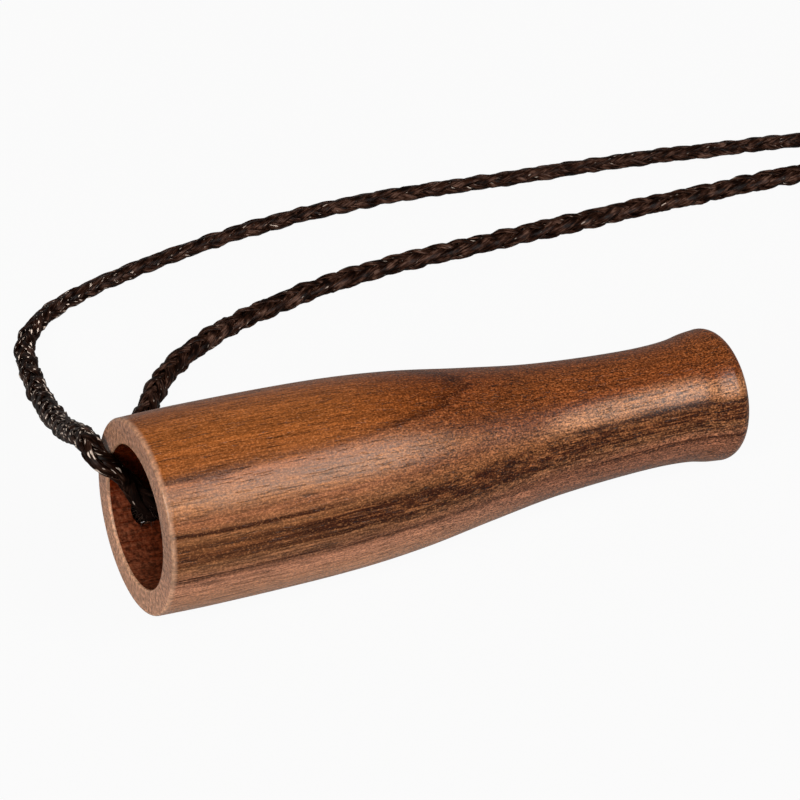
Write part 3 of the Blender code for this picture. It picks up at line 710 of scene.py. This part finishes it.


# Braided polyester: dark brown filaments laid flat in each strand, so that it has a silky sheen along them;
# painted glints fleck the whole cord, more and brighter where the lanyard leaves the bell, with painted shade
# on that stretch and on the cord inside the bell

braidLook = {
    "dark": "0a0200", "mid": "2a160d", "light": "6a4e41", "glint": "f0dac8",
    # noises: times round a strand, times in a mm along it, detail, roughness, shift
    "lines": (16.0, 0.5, 2.0, 0.6),
    "patches": (2.5, 0.45, 2.0, 0.5),
    "glints": (10.0, 0.62, 1.0, 0.5, (5.3, 2.0, 0.0)),
    "patchShare": 0.9, "stops": (0.83, 1.0), "lit": [("tone", 1.0, 1.25, 0.8)],
    "rubbed": (10.0, 15.0, 86.0, 124.0),   # mm from the hole where the painted glints and painted shade lie: starts, in full, last full, gone
    "inBell": 6.0,                         # up to here it is inside the bell: dull, with painted shade
    "bellShade": 0.8, "stretchShadeShare": 0.4,     # share of painted shade inside the bell, and of painted shade along the glinting stretch
    # more painted glints on that stretch, and how bright the painted glints are there and elsewhere
    "paintedGlintGain": 0.075, "glintEdge": [("glint", 0.70, 0.77), ("rubbed", 0.0, 1.0, 0.95, 0.4)],
    "rough": 0.38, "bellRough": 0.47, "gloss": 0.06, "relief": 0.9, "reliefDepth": 0.1 * mm,
}


def braidMaterial(name, wearAndGlints):   # the last argument sets how many painted glints and how much painted shade the stretch by the bell gets, and how dull the cord is inside the bell
    made, add = newMaterial(name)
    look = braidLook
    strand = add("UVMap", {}, uv_map="strandUV")
    noise = {}
    for kind in ("lines", "patches", "glints"):
        around, along, *rest = look[kind]
        noise[kind] = drawnOut(add, strand, (around, along, 1.0), *rest)
    tone = add("Math", {0: noise["patches"], 1: look["patchShare"], 2: noise["lines"]},
               operation="MULTIPLY_ADD")
    stops = zip(look["stops"], (look["dark"], look["mid"]))
    colour = add("ValToRGB", {"Fac": tone}, stops=stops)
    along = add("SeparateXYZ", {0: strand}, "Y")   # mm from the lanyard hole
    measures = {"tone": tone, "along": along}
    starts, full, last, gone = look["rubbed"]
    rubbed = within(add, measures, [("along", starts, full, wearAndGlints), ("along", gone, last)], "LINEAR")
    # painted shade on the stretch by the bell
    stretchShade = add("Math", {0: rubbed, 1: look["stretchShadeShare"]}, operation="MULTIPLY")
    # painted glints: bright specks over all the cord, more and brighter on the stretch by the bell
    glint = add("Math", {0: rubbed, 1: look["paintedGlintGain"], 2: noise["glints"]}, operation="MULTIPLY_ADD")
    glint = within(add, {"glint": glint, "rubbed": rubbed}, look["glintEdge"], "LINEAR")
    # painted shade on the cord inside the bell
    inside = within(add, measures, [("along", full, look["inBell"], look["bellShade"] * wearAndGlints)], "LINEAR")
    lit = within(add, measures, look["lit"], "LINEAR")
    for share, shade in ((lit, "light"), (stretchShade, "dark"), (inside, "dark"), (glint, "glint")):
        colour = add("Mix", {0: share, 6: colour, 7: hexColour(look[shade])}, 2, data_type="RGBA")
    normal = add("Bump", {"Height": noise["lines"], "Strength": look["relief"],
                          "Distance": look["reliefDepth"]})
    dull = look["rough"] + look["bellRough"] * wearAndGlints
    rough = within(add, measures, [("along", look["inBell"], full, look["rough"], dull)], "LINEAR")
    shader = add("BsdfPrincipled", {"Base Color": colour, "Normal": normal, "Roughness": rough, "IOR": 1.5,
                                    "Specular IOR Level": look["gloss"]})
    add("OutputMaterial", {"Surface": shader})
    return made


braidCloth = braidMaterial("braidedPolyester", 0.0)
braidGlintsAndShade = braidMaterial("braidedPolyesterPaintedGlints", 1.0)
brokenFibre, add = newMaterial("brokenPolyesterFilament")   # single filaments let light through: paler
place = add("TexCoord", {}, "Object")
tint = add("TexNoise", {"Vector": place, "Scale": 0.9 / mm}, "Fac")
colour = add("ValToRGB", {"Fac": tint}, stops=[(0.35, "120b08"), (0.65, "40322a")])
shader = add("BsdfPrincipled", {"Base Color": colour, "Roughness": 0.35, "IOR": 1.5})
add("OutputMaterial", {"Surface": shader})
holeFray.data.materials.append(brokenFibre)
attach(holeFray, "barrel")
for piece, cloth in ((mouthRun, braidGlintsAndShade), (hankRun, braidCloth), (knotTurns, braidCloth)):
    piece.data.materials.append(cloth)
    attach(piece, "barrel")
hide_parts("lanyard_mouth_run")
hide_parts("lanyard_hole_run", "lanyard_coil", "lanyard_tail")
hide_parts("lanyard_knot")
print("lanyard finished")


# Reed unit, in its own frame: X along it from its inner end, Z up

unit = {
    "station": 54.3,                               # mm along the call to its inner end
    "radius": 6.1, "length": 15.0, "edge": 0.35,   # plug, mm
    "ringRadius": 5.5, "ringSection": 1.5, "grooveRadius": 4.65, "grooveHalf": 0.95, "rings": (2.6, 6.2),
    "boardRadius": 5.4, "boardLength": 18.0, "boardHeight": 1.0, "boardSlope": 3.0, "boardOverlap": 1.0,
    "channelRadius": 2.3, "channelDrop": 1.6, "channelEnd": 31.5, "troughHalf": 2.1, "troughStart": 15.6,
    "slotDepth": 6.2, "slotHalf": 3.8, "slotTop": 3.55,
    "overrun": 3.0, "planerReach": 11.0,        # how far the cutters pass the work
    "steps": 96, "channelSteps": 64, "ringSteps": 24,
    "bevel": 0.1, "edgeAngle": 35.0,
    "doubles": 0.002, "slivers": 0.09, "flat": 1.0,   # points merged after the cuts, and degrees of a flat
    "flash": 0.03, "flashHalf": 0.02,           # moulding flash round the O-rings
}
unitPlace = callPlace @ Matrix.Translation((unit["station"] * mm, 0.0, 0.0))


def cutter(name, low, high):   # box between two corners, in mm
    clearSelection()
    middle = [(a + b) / 2 * mm for a, b in zip(low, high)]
    bpy.ops.mesh.primitive_cube_add(size=1.0, location=middle)
    made = startPiece(name)
    bpy.ops.object.mode_set(mode="EDIT")
    bpy.ops.transform.resize(value=[(b - a) * mm for a, b in zip(low, high)])
    bpy.ops.object.mode_set(mode="OBJECT")
    return made


def putInOrder(piece):   # a cut lists its points in another order each run, and the clean-up follows it
    old = piece.data
    spots = [tuple(round(c / mm, 4) for c in vertex.co) for vertex in old.vertices]
    order = sorted(set(spots))
    rank = {spot: i for i, spot in enumerate(order)}
    faces = []
    for face in old.polygons:
        ring = [rank[spots[i]] for i in face.vertices]
        ring = [corner for i, corner in enumerate(ring) if corner != ring[i - 1]]
        if len(ring) > 2:
            start = ring.index(min(ring))
            faces.append(ring[start:] + ring[:start])
    piece.data = bpy.data.meshes.new(piece.name)
    bpy.data.meshes.remove(old)
    piece.data.name = piece.name
    piece.data.from_pydata([Vector(spot) * mm for spot in order], [], sorted(faces))
    piece.data.update()


def cleanCuts(piece):   # doubled points, slivers and split flats that the cuts leave
    putInOrder(piece)
    takeUp(piece)
    bpy.ops.object.mode_set(mode="EDIT")
    bpy.ops.mesh.select_all(action="SELECT")
    bpy.ops.mesh.remove_doubles(threshold=unit["doubles"] * mm)
    bpy.ops.mesh.dissolve_limited(angle_limit=math.radians(unit["flat"]))
    bpy.ops.mesh.select_all(action="SELECT")
    bpy.ops.mesh.remove_doubles(threshold=unit["slivers"] * mm)
    bpy.ops.mesh.delete_loose()
    bpy.ops.object.mode_set(mode="OBJECT")


def rodOutline(start, end, radius):
    return [(start * mm, 0.0), (start * mm, radius * mm), (end * mm, radius * mm), (end * mm, 0.0)]


def finishEdges(piece, width, segments=3, angle=unit["edgeAngle"]):
    bevel = piece.modifiers.new("easedEdges", "BEVEL")
    bevel.width = width * mm
    bevel.segments = segments
    bevel.limit_method = "ANGLE"
    bevel.angle_limit = math.radians(angle)
    applyAll(piece)
    bpy.ops.object.shade_smooth_by_angle(angle=math.radians(angle))
    weigh = piece.modifiers.new("flatFaces", "WEIGHTED_NORMAL")   # flats shade flat beside the eased edges
    weigh.keep_sharp = True
    weigh.weight = 100
    applyAll(piece)


edge, radius, groove, plugEnd = unit["edge"], unit["radius"], unit["grooveRadius"], unit["length"]
plugOutline = [(0.0, 0.0), (0.0, radius - edge), (edge, radius)]
for middle in unit["rings"]:
    near, far = middle - unit["grooveHalf"], middle + unit["grooveHalf"]
    plugOutline += [(near, radius), (near, groove), (far, groove), (far, radius)]
plugOutline += [(plugEnd - edge, radius), (plugEnd, radius - edge), (plugEnd, 0.0)]
reedPlug = turnOutline("reedPlug", [(x * mm, r * mm) for x, r in plugOutline], unit["steps"], closed=False)
boardOutline = rodOutline(plugEnd - unit["boardOverlap"], plugEnd + unit["boardLength"], unit["boardRadius"])
board = turnOutline("toneBoard", boardOutline, unit["steps"], closed=False)
past, wide = unit["overrun"], unit["planerReach"]
planer = cutter("boardPlaner", (-past, -wide, 0.0), (unit["boardLength"] + past, wide, wide))
applyAll(planer)
planer.matrix_world = (Matrix.Translation((plugEnd * mm, 0.0, unit["boardHeight"] * mm))
                       @ Matrix.Rotation(math.radians(unit["boardSlope"]), 4, "Y"))
carve(board, planer)
carve(reedPlug, board, "UNION")
carve(reedPlug, cutter("clampSlot", (plugEnd - unit["slotDepth"], -unit["slotHalf"], unit["boardHeight"]),
                       (plugEnd + past, unit["slotHalf"], unit["slotTop"])))
channelOutline = rodOutline(-past, unit["channelEnd"], unit["channelRadius"])
channel = turnOutline("channelDrill", channelOutline, unit["channelSteps"], closed=False)
channel.location.z = -unit["channelDrop"] * mm
carve(reedPlug, channel)
carve(reedPlug, cutter("troughMill", (unit["troughStart"], -unit["troughHalf"], -unit["channelDrop"]),
                       (unit["channelEnd"], unit["troughHalf"], unit["boardHeight"] + past)))
cleanCuts(reedPlug)
finishEdges(reedPlug, unit["bevel"])
seat(reedPlug, unitPlace)

rubberRings = []
for name, middle in zip(("oRingInner", "oRingOuter"), unit["rings"]):
    clearSelection()
    bpy.ops.mesh.primitive_torus_add(
        major_segments=unit["steps"], minor_segments=unit["ringSteps"],
        major_radius=unit["ringRadius"] * mm, minor_radius=unit["ringSection"] / 2 * mm,
        rotation=(0.0, math.pi / 2, 0.0), location=(middle * mm, 0.0, 0.0),
    )
    ring = startPiece(name)
    applyAll(ring)
    for vertex in ring.data.vertices:
        if abs(vertex.co.x - middle * mm) < unit["flashHalf"] * mm:
            out = Vector((0.0, vertex.co.y, vertex.co.z)).normalized()
            vertex.co += out * unit["flash"] * mm
    bpy.ops.object.shade_smooth()
    seat(ring, unitPlace)
    rubberRings.append(ring)

reedSize = {   # mm
    "width": 7.0, "thickness": 0.3, "tail": 5.0, "free": 17.5, "tipRound": 2.0, "tipSteps": 8, "height": 1.45,
    "edge": 0.05,
}
reach, thick = reedSize["tail"] + reedSize["free"], reedSize["thickness"]
clearSelection()
bpy.ops.mesh.primitive_plane_add(size=1.0)
reedTongue = startPiece("reedTongue")
bpy.ops.object.mode_set(mode="EDIT")
bpy.ops.transform.resize(value=(reach * mm, reedSize["width"] * mm, 1.0))
bpy.ops.transform.translate(value=((reedSize["free"] - reedSize["tail"]) / 2 * mm, 0.0, -thick / 2 * mm))
bpy.ops.mesh.select_all(action="DESELECT")
bpy.ops.object.mode_set(mode="OBJECT")
for vertex in reedTongue.data.vertices:
    vertex.select = vertex.co.x > 0.0
bpy.ops.object.mode_set(mode="EDIT")
bpy.ops.mesh.bevel(offset=reedSize["tipRound"] * mm, segments=reedSize["tipSteps"], affect="VERTICES")
bpy.ops.mesh.select_all(action="SELECT")
bpy.ops.mesh.extrude_region_move(TRANSFORM_OT_translate={"value": (0.0, 0.0, thick * mm)})
bpy.ops.mesh.select_all(action="SELECT")
bpy.ops.mesh.normals_make_consistent(inside=False)
bpy.ops.object.mode_set(mode="OBJECT")
finishEdges(reedTongue, reedSize["edge"], 2)
seat(reedTongue, unitPlace @ Matrix.Translation((plugEnd * mm, 0.0, reedSize["height"] * mm)))

wedgeSize = {   # mm
    "inner": -6.0, "nose": 1.5, "half": 3.5, "bottom": 1.95, "thickness": 1.4, "taper": 0.84, "edge": 0.12,
}
corkWedge = cutter("corkWedge", (wedgeSize["inner"], -wedgeSize["half"], 0.0),
                   (wedgeSize["nose"], wedgeSize["half"], wedgeSize["thickness"]))
applyAll(corkWedge)
for vertex in corkWedge.data.vertices:   # thinner at its inner end
    if vertex.co.x < 0.0 and vertex.co.z < wedgeSize["thickness"] * mm / 2:
        vertex.co.z += wedgeSize["taper"] * mm
finishEdges(corkWedge, wedgeSize["edge"], 2)
seat(corkWedge, unitPlace @ Matrix.Translation((plugEnd * mm, 0.0, wedgeSize["bottom"] * mm)))
print("reed unit built")

# ABS moulding: fine spark-eroded texture, soft gloss on the eased edges
plugPlastic, add = newMaterial("mouldedAbs")
place = add("TexCoord", {}, "Object")
grit = add("TexNoise", {"Vector": place, "Scale": 1 / (0.12 * mm), "Detail": 2.0}, "Fac")
haze = add("TexNoise", {"Vector": place, "Scale": 1 / (3.0 * mm), "Detail": 3.0}, "Fac")
colour = add("ValToRGB", {"Fac": haze}, stops=[(0.3, "161616"), (0.7, "202021")])
rough = add("MapRange", {"Value": haze, "To Min": 0.36, "To Max": 0.52})
normal = add("Bump", {"Height": grit, "Strength": 0.35, "Distance": 0.00003})
shader = add("BsdfPrincipled", {"Base Color": colour, "Roughness": rough, "Normal": normal, "IOR": 1.54})
add("OutputMaterial", {"Surface": shader})

# Nitrile rubber: matt black with a little bloom
ringRubber, add = newMaterial("nitrileRubber")
place = add("TexCoord", {}, "Object")
bloom = add("TexNoise", {"Vector": place, "Scale": 1 / (0.8 * mm), "Detail": 3.0}, "Fac")
colour = add("ValToRGB", {"Fac": bloom}, stops=[(0.35, "0f0f0f"), (0.75, "242322")])
rough = add("MapRange", {"Value": bloom, "To Min": 0.5, "To Max": 0.7})
shader = add("BsdfPrincipled", {"Base Color": colour, "Roughness": rough, "IOR": 1.52})
add("OutputMaterial", {"Surface": shader})

# Rolled brass strip: rolling lines along it, a few tarnished patches
reedBrass, add = newMaterial("rolledBrass")
place = add("TexCoord", {}, "Object")
lines = drawnOut(add, place, (1 / (6.0 * mm), 1 / (0.06 * mm), 1 / (0.06 * mm)), 2.0, 0.5)
patch = add("TexNoise", {"Vector": place, "Scale": 1 / (2.5 * mm), "Detail": 4.0}, "Fac")
colour = add("ValToRGB", {"Fac": patch}, stops=[(0.35, "b88a3c"), (0.6, "dcb668")])
rough = add("MapRange", {"Value": lines, "To Min": 0.2, "To Max": 0.38})
normal = add("Bump", {"Height": lines, "Strength": 0.2, "Distance": 0.00002})
shader = add("BsdfPrincipled", {"Base Color": colour, "Roughness": rough, "Normal": normal, "Metallic": 1.0})
add("OutputMaterial", {"Surface": shader})

# Cork, sliced: tan granules with dark pits between them
corkSlice, add = newMaterial("slicedCork")
place = add("TexCoord", {}, "Object")
cells = add("TexVoronoi", {"Vector": place, "Scale": 1 / (0.7 * mm)}, "Distance")
grain = add("TexNoise", {"Vector": place, "Scale": 1 / (0.35 * mm), "Detail": 3.0}, "Fac")
tone = add("Math", {0: cells, 1: 0.6, 2: grain}, operation="MULTIPLY_ADD")
colour = add("ValToRGB", {"Fac": tone}, stops=[(0.45, "c79a68"), (0.8, "a0713f"), (1.0, "5a3a20")])
normal = add("Bump", {"Height": tone, "Strength": 0.8, "Distance": 0.0001}, invert=True)
shader = add("BsdfPrincipled", {"Base Color": colour, "Normal": normal, "Roughness": 0.85, "IOR": 1.4})
add("OutputMaterial", {"Surface": shader})

for piece, body, node, slot, look in (
    (reedPlug, "reed_unit", "reed_plug", "plug_plastic", plugPlastic),
    (rubberRings[0], "reed_unit", "o_ring_inner", "ring_rubber", ringRubber),
    (rubberRings[1], "reed_unit", "o_ring_outer", "ring_rubber", ringRubber),
    (corkWedge, "reed_unit", "reed_wedge", "cork", corkSlice),
    (reedTongue, "tongue", "reed", "reed_brass", reedBrass),
):
    piece.data.materials.clear()
    piece.data.materials.append(look)
    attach(piece, body)
    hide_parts(node)
print("reed unit finished")


# Strip that ties the coil: a flat woven band round the bundle, its end lapped over itself on top

tie = {
    "turn": 0.35, "width": 3.0 * mm, "thickness": 0.5 * mm, "gap": 0.28 * mm,
    "lap": 5.0 * mm, "lapRise": 0.4 * mm,
    "steps": 48, "edge": 0.1, "edgeAngle": 40.0,
}
cordRadius = braid["width"] / 2
halfTurns = coil["turns"] / 2
radii = [coil["radius"] - coil["pitch"] * (halfTurns - abs(turn + tie["turn"] - halfTurns))
         for turn in range(coil["turns"])]
inner, outer = min(radii) - cordRadius - tie["gap"], max(radii) + cordRadius + tie["gap"]
halfWide, halfHigh = (outer - inner) / 2, coil["layer"] / 2 + cordRadius + tie["gap"]
corner = cordRadius + tie["gap"]
clearSelection()
bpy.ops.mesh.primitive_circle_add(vertices=tie["steps"], radius=corner, rotation=(math.pi / 2, 0.0, 0.0))
coilTie = startPiece("coilTie")
applyAll(coilTie)
for vertex in coilTie.data.vertices:   # the circle's quarters move out to the bundle's corners
    x, z = vertex.co.x, vertex.co.z
    vertex.co.x += math.copysign(halfWide - corner, x) if abs(x) > 1e-7 else 0.0
    vertex.co.z += math.copysign(halfHigh - corner, z) if abs(z) > 1e-7 else 0.0
    vertex.co.y = -tie["width"] / 2
bpy.ops.object.mode_set(mode="EDIT")
bpy.ops.mesh.select_all(action="SELECT")
bpy.ops.mesh.subdivide(number_cuts=1)
bpy.ops.mesh.extrude_region_move(TRANSFORM_OT_translate={"value": (0.0, tie["width"], 0.0)})
bpy.ops.mesh.select_all(action="SELECT")
bpy.ops.mesh.normals_make_consistent(inside=False)
bpy.ops.object.mode_set(mode="OBJECT")
band = coilTie.modifiers.new("band", "SOLIDIFY")
band.thickness = tie["thickness"]
band.offset = 1.0
applyAll(coilTie)
topFace = halfHigh + tie["thickness"]
bpy.ops.object.mode_set(mode="EDIT")
bpy.ops.mesh.select_mode(type="FACE")
bpy.ops.mesh.select_all(action="DESELECT")
bpy.ops.object.mode_set(mode="OBJECT")
for face in coilTie.data.polygons:
    onTop = face.normal.z > 0.9 and face.center.z > topFace - tie["thickness"] / 5
    face.select = onTop and face.center.x > -tie["lap"] / 2
bpy.ops.object.mode_set(mode="EDIT")
bpy.ops.mesh.extrude_region_shrink_fatten(TRANSFORM_OT_shrink_fatten={"value": tie["lapRise"]})
bpy.ops.object.mode_set(mode="OBJECT")
finishEdges(coilTie, tie["edge"], 2, tie["edgeAngle"])
tieAngle = math.pi / 2 - 2 * math.pi * tie["turn"]
tieMiddle = (inner + outer) / 2
seat(coilTie, Matrix.Translation((coil["centre"][0] + tieMiddle * math.cos(tieAngle),
                                  coil["centre"][1] + tieMiddle * math.sin(tieAngle),
                                  coil["height"] + coil["layer"] / 2)) @ Matrix.Rotation(tieAngle, 4, "Z"))

# Nylon hook-and-loop strip: a woven back, threads about 0.28 mm apart
wovenNylon, add = newMaterial("wovenNylonStrip")
place = add("TexCoord", {}, "Object")
weave = add("TexVoronoi", {"Vector": place, "Scale": 1 / (0.28 * mm), "Randomness": 0.25}, "Distance")
fuzz = add("TexNoise", {"Vector": place, "Scale": 1 / (0.5 * mm), "Detail": 3.0}, "Fac")
tone = add("Math", {0: fuzz, 1: 0.5, 2: weave}, operation="MULTIPLY_ADD")
colour = add("ValToRGB", {"Fac": tone}, stops=[(0.3, "2c2a29"), (0.9, "0b0b0b")])
normal = add("Bump", {"Height": weave, "Strength": 0.8, "Distance": 0.00008}, invert=True)
shader = add("BsdfPrincipled", {"Base Color": colour, "Normal": normal, "Roughness": 0.7, "IOR": 1.5,
                                "Sheen Weight": 0.1})
add("OutputMaterial", {"Surface": shader})
coilTie.data.materials.clear()
coilTie.data.materials.append(wovenNylon)
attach(coilTie, "barrel")
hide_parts("coil_tie")
print("coil tied")


# Floor and light: a pale floor, a wide soft box at the front, one at the bell's side, a weak one by the
# camera, and a fill behind

studio = {
    "floorSize": 6.0, "floorTone": "959390",
    "floorSeen": 0.945, "floorMirrored": 0.08,   # share of plain white to the camera and in the oil's gloss
    "worldMirrored": 0.05, "worldLevel": (0.2, 0.07), "ceilingFrom": 0.6,   # darker towards the ceiling
    "lamps": [   # name, direction, distance, width, height, roll in degrees, watts, whether gloss mirrors it
        ("softBoxFront", (0.441, -0.620, 0.649), 0.9, 0.34, 0.50, -26.0, 6.5, True),
        ("softBoxBell", (-0.76, -0.46, 0.46), 0.8, 0.28, 0.28, 0.0, 5.0, True),
        ("softBoxCamera", (-0.30, -0.72, 0.62), 1.0, 0.60, 0.50, 0.0, 1.3, True),
        ("softBoxBack", (0.25, 0.90, 0.36), 0.9, 0.50, 0.40, 0.0, 2.2, False),   # no bright rim on the oil
    ],
}
plainWhite = hexColour("ffffff")
clearSelection()
bpy.ops.mesh.primitive_plane_add(size=studio["floorSize"], location=(0.0, 0.0, 0.0))
floor = startPiece("paleFloor")
floorPaper, add = newMaterial("paleFloorPaper")
path = add("LightPath", {}).node.outputs
seen = add("Math", {0: path["Is Camera Ray"], 1: path["Is Transmission Ray"]}, operation="MAXIMUM")
glow = add("Math", {0: path["Is Glossy Ray"], 1: studio["floorMirrored"]}, operation="MULTIPLY")
glow = add("Math", {0: seen, 1: studio["floorSeen"], 2: glow}, operation="MULTIPLY_ADD")
matt = add("BsdfDiffuse", {"Color": hexColour(studio["floorTone"])})
white = add("Emission", {"Color": plainWhite, "Strength": 1.0})
mixed = add("MixShader", {0: glow, 1: matt, 2: white})
add("OutputMaterial", {"Surface": mixed})
floor.data.materials.append(floorPaper)

for name, direction, distance, width, height, roll, watts, mirrored in studio["lamps"]:
    bpy.ops.object.light_add(type="AREA", location=Vector(direction).normalized() * distance)
    lamp = bpy.context.object
    lamp.name = name
    lamp.data.shape = "RECTANGLE"
    lamp.data.size = width
    lamp.data.size_y = height
    lamp.data.energy = watts
    aim = (-Vector(direction)).to_track_quat("-Z", "Y") @ Quaternion((0.0, 0.0, 1.0), math.radians(roll))
    lamp.rotation_euler = aim.to_euler()
    lamp.visible_glossy = mirrored

world = bpy.data.worlds.new("studioWorld")
bpy.context.scene.world = world
world.use_nodes = True
world.node_tree.nodes.clear()
add = partial(addNode, world.node_tree)
path = add("LightPath", {}).node.outputs
seen = add("Math", {0: path["Is Camera Ray"], 1: path["Is Transmission Ray"]}, operation="MAXIMUM")
glow = add("Math", {0: path["Is Glossy Ray"], 1: studio["worldMirrored"], 2: seen}, operation="MULTIPLY_ADD")
ray = add("SeparateXYZ", {0: add("TexCoord", {}, "Generated")}, "Z")
low, high = studio["worldLevel"]
level = add("MapRange", {"Value": ray, "From Max": studio["ceilingFrom"], "To Min": low, "To Max": high})
dim = add("Background", {"Color": plainWhite, "Strength": level})
white = add("Background", {"Color": plainWhite, "Strength": 1.0})
mixed = add("MixShader", {0: glow, 1: dim, 2: white})
add("OutputWorld", {"Surface": mixed})
bpy.context.scene.view_settings.view_transform = "Standard"
print("floor and light set")
